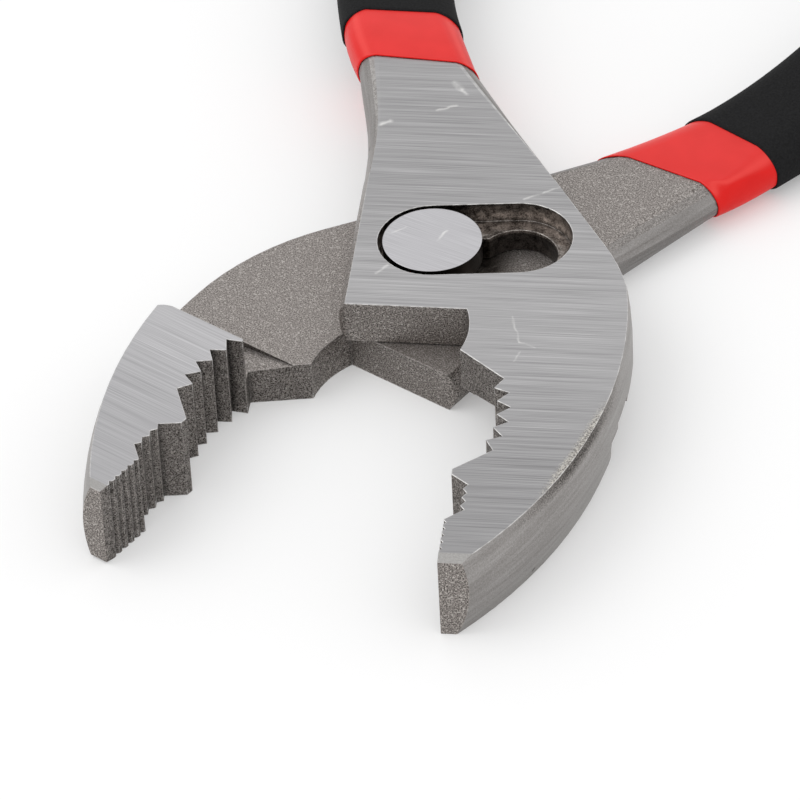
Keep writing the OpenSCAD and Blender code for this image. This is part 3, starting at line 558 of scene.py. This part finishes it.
# Places round a section: the quarter, how far its corner has turned, and how far down the side
AROUND = [(quarter, step / CORNER_STEPS, 0.0)
          for quarter in range(4) for step in range(CORNER_STEPS + 1)]
AROUND += [(quarter, 1.0, step / (SIDE_STEPS + 1))
           for quarter in (1, 3) for step in range(1, SIDE_STEPS + 1)]
AROUND.sort()
OUTER_QUARTERS = (1, 2)


def share(y, start, end):
    """How far y has come on its way from start to end, from 0 to 1."""
    return max(0.0, min(1.0, (y - start) / (end - start)))


def smooth(u):
    """A share, eased at both ends."""
    return u * u * (3 - 2 * u)


def between(a, b, u):
    """The value a share u of the way from a to b."""
    return a + (b - a) * u


def stations(start, end, steps):
    """Evenly spaced places from start to end, without the start."""
    return [between(start, end, step / steps) for step in range(1, steps + 1)]


def left_over(y, start, end):
    """How much of a mouth's bow, or of a crease, is left at y: from 1 at start to 0 at end."""
    return 1 - smooth(share(y, start, end))


def handle_bar(handle, y):
    """The steel bar at y: middle x and z, half width and thickness, ground face's rounding, bulges."""
    mouth = handle["mouth"]
    bare = share(y, HANDLE_Y, mouth)
    before = min(y, mouth) - mouth
    inner = handle["inner_x"] - before * math.tan(handle["inner_angle"])
    outer = handle["outer_x"] - before * math.tan(OUTER_ANGLE)
    slope = -(math.tan(handle["inner_angle"]) + math.tan(OUTER_ANGLE)) / 2
    u = share(y, mouth, ELBOW)
    settled = smooth(u)
    x = between((inner + outer) / 2, -handle["spread"], settled)
    x += u * (1 - u) ** 2 * (ELBOW - mouth) * slope
    x += END_INSET * share(y, ELBOW, GRIP_END) ** 2
    z = between(HEAD_T - (handle["plate"] + handle["relief"] * bare) / 2, HEAD_T / 2, settled)
    w = between((inner - outer) / 2, BAR_W, 1 - (1 - share(y, mouth, mouth + NECK_RUN)) ** 2)
    h = between((handle["plate"] - handle["relief"] * bare) / 2, BAR_H, share(y, mouth, BAR_END))
    ground_r = between(between(SHARP_R, GROUND_ROUND, smooth(bare)), SHANK_ROUND, settled)
    bulges = {side: between(start, SIDE_BULGE, smooth(bare)) * (1 - settled)
              for side, start in ((-1, PLATE_BULGE), (1, 0.0))}
    return x, z, w, h, ground_r, bulges


def section_point(place, x, z, w, h, ground_r, inner_r, bulges):
    """One point on a rounded rectangle whose sides are pushed out by the bulges."""
    quarter, turn, along = place
    side = -1 if quarter in OUTER_QUARTERS else 1
    face = 1 if quarter < 2 else -1
    radii = {1: CORNER_LIMIT * min(ground_r, w, h), -1: CORNER_LIMIT * min(inner_r, w, h)}
    r = radii[face]
    a = math.radians(90 * (quarter + turn))
    up = between(face * (h - r) + r * math.sin(a), -face * (h - radii[-face]), along)
    out = bulges[side] * (1 - (up / h) ** 2)
    return x + side * (w - r + out) + r * math.cos(a), z + up


def sleeve_point(handle, y, place, grow):
    """A point of the sleeve's skin: round at the mouth, then creased on its outer side, then round."""
    x, z, w, h, ground_r, bulges = handle_bar(handle, y)
    start = handle["mouth"] + CREASE_START
    full = handle["mouth"] + CREASE_FULL
    creased = 0.0
    if place[0] in OUTER_QUARTERS:
        creased = smooth(share(y, start, full)) * left_over(y, full, handle["rim"])
    inner_r = between(SHANK_ROUND + grow, CREASE_R, creased)
    return section_point(place, x, z, w + grow, h + grow, ground_r + grow, inner_r, bulges)


def bar_point(handle, y, place, grow):
    """A point a little off the steel bar, on a coat's inside."""
    x, z, w, h, ground_r, bulges = handle_bar(handle, y)
    return section_point(place, x, z, w + grow, h + grow, ground_r + grow, SHANK_ROUND + grow, bulges)


def ring(point, handle, y, grow, bow=NO_BOW, fade=0.0):
    """A ring of points round the handle at y, bowed along the handle by a share of the bow."""
    lead, leader, falls_left, falls_right = bow
    points = []
    for place in AROUND:
        aside = point(handle, y, place, grow)[0] - leader
        shifted = y + fade * (lead - (falls_right if aside > 0 else falls_left) * aside ** 2)
        x, z = point(handle, shifted, place, grow)
        points.append(Vector((x, shifted, z)))
    return points


def lip(point, handle, start, length, thickness, bow):
    """Rings over a coat's rounded edge, from what lies under it up to its own thickness."""
    rings = []
    for step in range(LIP_STEPS + 1):
        a = math.radians(90 * step / LIP_STEPS)
        rings.append(ring(point, handle, start + length * (1 - math.cos(a)),
                          between(COAT_GAP, thickness, math.sin(a)), bow, 1.0))
    return rings


def end_cap(handle, last, length, steps):
    """Rings that close a coat's end: the last ring, drawn in along a quarter of a circle."""
    x, z = handle_bar(handle, BAR_END)[:2]
    rings = []
    for step in range(1, steps + 1):
        a = math.radians(CAP_TURN * step / steps)
        rings.append([Vector((x + (p.x - x) * math.cos(a), p.y + length * math.sin(a),
                              z + (p.z - z) * math.cos(a))) for p in last])
    return rings


def skin(name, half, rings, material):
    """A closed mesh through the rings, put in its half's place and shaded smooth."""
    n = len(rings[0])
    points = [MM * (HALF_PLACES[half] @ p) for r in rings for p in r]
    faces = [(k * n + i, k * n + (i + 1) % n, (k + 1) * n + (i + 1) % n, (k + 1) * n + i)
             for k in range(len(rings) - 1) for i in range(n)]
    faces += [tuple(reversed(range(n))), tuple(range((len(rings) - 1) * n, len(rings) * n))]
    mesh = bpy.data.meshes.new(name)
    mesh.from_pydata(points, [], faces)
    mesh.shade_smooth()
    mesh.materials.append(material)
    piece = bpy.data.objects.new(name, mesh)
    bpy.context.scene.collection.objects.link(piece)
    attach(piece, half)
    return piece


# Soft PVC: a bright, slightly uneven red with a wet-looking but not sharp gloss. It sags in waves
# some 5 mm long, and its skin has specks of 0.3 mm.
SAG_LEN = 5.0
SPECK = 0.3
SPECK_DEPTH = 0.01
red_pvc = new_material("soft_pvc_dipped_red")
where = add(red_pvc, "TexCoord")
own = add(red_pvc, "Mapping", {"Vector": where["Object"], "Scale": (1 / MM, 1 / MM, 1 / MM)})[0]
sag = add(red_pvc, "TexNoise", {"Vector": own, "Scale": 1 / SAG_LEN, "Detail": 2.0})["Fac"]
speck = add(red_pvc, "TexNoise", {"Vector": own, "Scale": 1 / SPECK, "Detail": 3.0})["Fac"]
# Painted sheen: paler on the broad faces and deeper in tone down the sides
upward = add(red_pvc, "SeparateXYZ", {0: where["Normal"]})[2]
upward = add(red_pvc, "Math", {0: upward}, operation="ABSOLUTE")[0]
broad_face_sheen = add(red_pvc, "MapRange", {"Value": upward, "From Min": 0.62, "From Max": 0.9},
            interpolation_type="SMOOTHSTEP")["Result"]
side_red = add(red_pvc, "ValToRGB", {0: sag}, stops=[(0.3, "#d5120e"), (0.7, "#e01813")])[0]
red_with_painted_sheen = add(red_pvc, "ValToRGB", {0: sag}, stops=[(0.3, "#d62e2b"), (0.7, "#e03331")])[0]
colour = add(red_pvc, "Mix", {0: broad_face_sheen, 6: side_red, 7: red_with_painted_sheen}, data_type="RGBA")[2]
# Painted highlight: a paler line where the skin turns over an edge
crease_highlight = add(red_pvc, "ValToRGB", {0: upward},
            stops=[(0.74, 0.0), (0.83, 0.2), (0.88, 0.2), (0.95, 0.0)])[0]
colour = add(red_pvc, "Mix", {0: crease_highlight, 6: colour, 7: linear("#ff6058")}, data_type="RGBA")[2]
rough = add(red_pvc, "MapRange", {"Value": speck, "To Min": 0.3, "To Max": 0.46})["Result"]
bump = add(red_pvc, "Bump", {"Height": speck, "Distance": SPECK_DEPTH * MM, "Strength": 0.5})[0]
surface = add(red_pvc, "BsdfPrincipled", {"Base Color": colour, "Roughness": rough, "IOR": 1.45,
                                          "Specular IOR Level": 0.25, "Normal": bump})[0]
add(red_pvc, "OutputMaterial", {"Surface": surface})

for half, handle in HANDLES.items():
    mouth, rim, bow = handle["mouth"], handle["rim"], handle["mouth_bow"]
    outer = lip(sleeve_point, handle, mouth, LIP_LEN, MOUTH_T, bow)
    for step in range(1, MOUTH_STEPS + 1):
        y = between(mouth + LIP_LEN, rim, (step / MOUTH_STEPS) ** MOUTH_CROWDING)
        thin = (1 - share(y, mouth + LIP_LEN, mouth + MOUTH_RUN)) ** 2
        outer.append(ring(sleeve_point, handle, y, between(SLEEVE_T, MOUTH_T, thin), bow,
                          left_over(y, mouth, rim)))
    ys = stations(rim, ELBOW, BEND_STEPS) + stations(ELBOW, BAR_END, STRAIGHT_STEPS)
    outer += [ring(sleeve_point, handle, y, SLEEVE_T) for y in ys]
    outer += end_cap(handle, outer[-1], END_WALL, CAP_STEPS)
    ys = [mouth] + stations(mouth, rim, MOUTH_STEPS_INSIDE) + ys
    inner = [ring(bar_point, handle, y, COAT_GAP, bow, left_over(y, mouth, rim)) for y in ys]
    red_sleeve = skin("red_sleeve_" + half, half, inner[:0:-1] + outer, red_pvc)
    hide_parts(half + "_sleeve")


# Black grips: a second, thicker dip over the red one, in foamed PVC. It swells to the full
# thickness of the head and has a matt, finely grained skin.
GRIP_EDGE_T = 0.26
GRIP_LIP_LEN = 0.4
GRIP_W = 7.46
GRIP_H = 4.87
RIM_RUN = 14.0
# Its rounded end stops a hair short of the solid's, so that the mesh stays inside it
END_GAP = 0.05
GRIP_CAP_LEN = GRIP_END - BAR_END - END_GAP
GRIP_BEND_STEPS = 30
GRIP_CAP_STEPS = 10
BEND_STEPS_INSIDE = 12
STRAIGHT_STEPS_INSIDE = 6


def grip_point(handle, y, place, grow):
    """A point of the grip's skin: it follows the sleeve at its rim, then swells to the head."""
    x, z, w, h, ground_r, bulges = handle_bar(handle, y)
    swollen = smooth(share(y, handle["rim"], ELBOW))
    edge = SLEEVE_T + grow
    w = between(w + edge, GRIP_W, swollen)
    h = between(h + edge, GRIP_H, swollen)
    ground_r = between(ground_r + edge, GRIP_H, swollen)
    inner_r = between(SHANK_ROUND + edge, GRIP_H, swollen)
    bulges = {side: bulge * (1 - swollen) for side, bulge in bulges.items()}
    return section_point(place, x, z, w, h, ground_r, inner_r, bulges)


# Foamed PVC: near black, with a grain of 0.25 mm that takes the gloss away
FOAM_GRAIN = 0.25
FOAM_DEPTH = 0.08
black_pvc = new_material("foamed_pvc_dipped_black")
where = add(black_pvc, "TexCoord")["Object"]
own = add(black_pvc, "Mapping", {"Vector": where, "Scale": (1 / MM, 1 / MM, 1 / MM)})[0]
grain = add(black_pvc, "TexNoise", {"Vector": own, "Scale": 1 / FOAM_GRAIN, "Detail": 3.0,
                                    "Roughness": 0.65})["Fac"]
colour = add(black_pvc, "ValToRGB", {0: grain}, stops=[(0.3, "#101011"), (0.7, "#1f1f20")])[0]
bump = add(black_pvc, "Bump", {"Height": grain, "Distance": FOAM_DEPTH * MM, "Strength": 0.7})[0]
surface = add(black_pvc, "BsdfPrincipled", {"Base Color": colour, "Roughness": 0.9,
                                            "Specular IOR Level": 0.2, "Normal": bump})[0]
add(black_pvc, "OutputMaterial", {"Surface": surface})

for half, handle in HANDLES.items():
    rim, bow = handle["rim"], handle["rim_bow"]
    straight = rim + RIM_RUN
    outer = lip(grip_point, handle, rim, GRIP_LIP_LEN, GRIP_EDGE_T, bow)
    ys = stations(rim + GRIP_LIP_LEN, ELBOW, GRIP_BEND_STEPS) + stations(ELBOW, BAR_END, STRAIGHT_STEPS)
    outer += [ring(grip_point, handle, y, GRIP_EDGE_T, bow, left_over(y, rim, straight)) for y in ys]
    outer += end_cap(handle, outer[-1], GRIP_CAP_LEN, GRIP_CAP_STEPS)
    ys = [rim] + stations(rim, ELBOW, BEND_STEPS_INSIDE)
    ys += stations(ELBOW, BAR_END, STRAIGHT_STEPS_INSIDE)
    inner = [ring(bar_point, handle, y, SLEEVE_T + COAT_GAP, bow, left_over(y, rim, straight)) for y in ys]
    inner.append([p + Vector((0, END_WALL + COAT_GAP, 0)) for p in inner[-1]])
    black_grip = skin("black_grip_" + half, half, inner[:0:-1] + outer, black_pvc)
    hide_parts(half + "_grip")


# The floor: a wide sheet of white paper that the pliers lie on. It takes their soft shadows, and
# glows a little where it is seen, so that it stays white round them.

# Its reach in metres, and how far it lies under the pliers in millimetres
FLOOR_REACH = 4.0
FLOOR_DROP = 0.02
FLOOR_GLOW = 0.25
floor_mesh = bpy.data.meshes.new("floor")
floor_mesh.from_pydata([(x * FLOOR_REACH, y * FLOOR_REACH, 0)
                        for x, y in ((-1, -1), (1, -1), (1, 1), (-1, 1))], [], [(0, 1, 2, 3)])
floor = bpy.data.objects.new("floor", floor_mesh)
floor.location.z = -FLOOR_DROP * MM
bpy.context.scene.collection.objects.link(floor)
# Paper: matt and white, with nothing on it for the eye to rest on
paper = new_material("white_paper")
path = add(paper, "LightPath")
lit = add(paper, "BsdfDiffuse", {"Color": linear("#f7f7f7")})[0]
glow = add(paper, "Emission", {"Color": linear("#ffffff"), "Strength": 1.0})[0]
mirrored = add(paper, "Math", {0: path["Is Glossy Ray"], 1: path["Is Transmission Ray"]},
               operation="MAXIMUM")[0]
seen = add(paper, "Math", {0: path["Is Camera Ray"], 1: mirrored}, operation="MAXIMUM")[0]
seen = add(paper, "Math", {0: seen, 1: FLOOR_GLOW}, operation="MULTIPLY")[0]
surface = add(paper, "MixShader", {0: seen, 1: lit, 2: glow})[0]
add(paper, "OutputMaterial", {"Surface": surface})
floor_mesh.materials.append(paper)


# The light: a white room, with one wide soft lamp above and to the left that is hardly brighter
# than the room, so that the pliers have no hard shadow and no hot spot.

# In metres and watts
LAMP_SIZE = 0.7
LAMP_ENERGY = 1.5
LAMP_PLACE = Vector((-0.55, -0.2, 0.75))
room = bpy.data.worlds.new("room")
bpy.context.scene.world = room
room.use_nodes = True
room.node_tree.nodes.clear()
backdrop = add(room, "Background", {"Color": linear("#ffffff"), "Strength": 1.0})[0]
add(room, "OutputWorld", {"Surface": backdrop})
lamp_data = bpy.data.lights.new("soft_lamp", "AREA")
lamp_data.shape = "DISK"
lamp_data.size = LAMP_SIZE
lamp_data.energy = LAMP_ENERGY
lamp = bpy.data.objects.new("soft_lamp", lamp_data)
lamp.location = LAMP_PLACE
lamp.rotation_euler = (-LAMP_PLACE).to_track_quat("-Z", "Y").to_euler()
bpy.context.scene.collection.objects.link(lamp)


# The camera: a long lens that looks down on the jaws from the front, turned and placed so that
# the pliers' edges fall where the picture has them.
CAMERA_LENS = 270.0
SENSOR_W = 36.0
CLIP_END = 20.0
AZIMUTH = math.radians(24.15)
ELEVATION = math.radians(40.392)
ROLL = math.radians(-3.1904)
# From the camera to the pin's head, in millimetres
PIN_RIGHT = 3.386
PIN_UP = 16.844
PIN_AHEAD = 630.70
across = Vector((math.cos(AZIMUTH), math.sin(AZIMUTH), 0))
away = Vector((-math.sin(AZIMUTH), math.cos(AZIMUTH), 0))
forward = math.cos(ELEVATION) * away - math.sin(ELEVATION) * Vector((0, 0, 1))
upright = math.sin(ELEVATION) * away + math.cos(ELEVATION) * Vector((0, 0, 1))
right = math.cos(ROLL) * across + math.sin(ROLL) * upright
up = -math.sin(ROLL) * across + math.cos(ROLL) * upright
stand = Vector((0, 0, HEAD_T)) - (PIN_RIGHT * right + PIN_UP * up + PIN_AHEAD * forward)
turn = Matrix((right, up, -forward)).transposed().to_4x4()
camera_data = bpy.data.cameras.new("camera")
camera_data.lens = CAMERA_LENS
camera_data.sensor_width = SENSOR_W
camera_data.clip_end = CLIP_END
camera = bpy.data.objects.new("camera", camera_data)
camera.matrix_world = Matrix.Translation(stand * MM) @ turn
bpy.context.scene.collection.objects.link(camera)
bpy.context.scene.camera = camera
bpy.context.scene.view_settings.view_transform = "Standard"
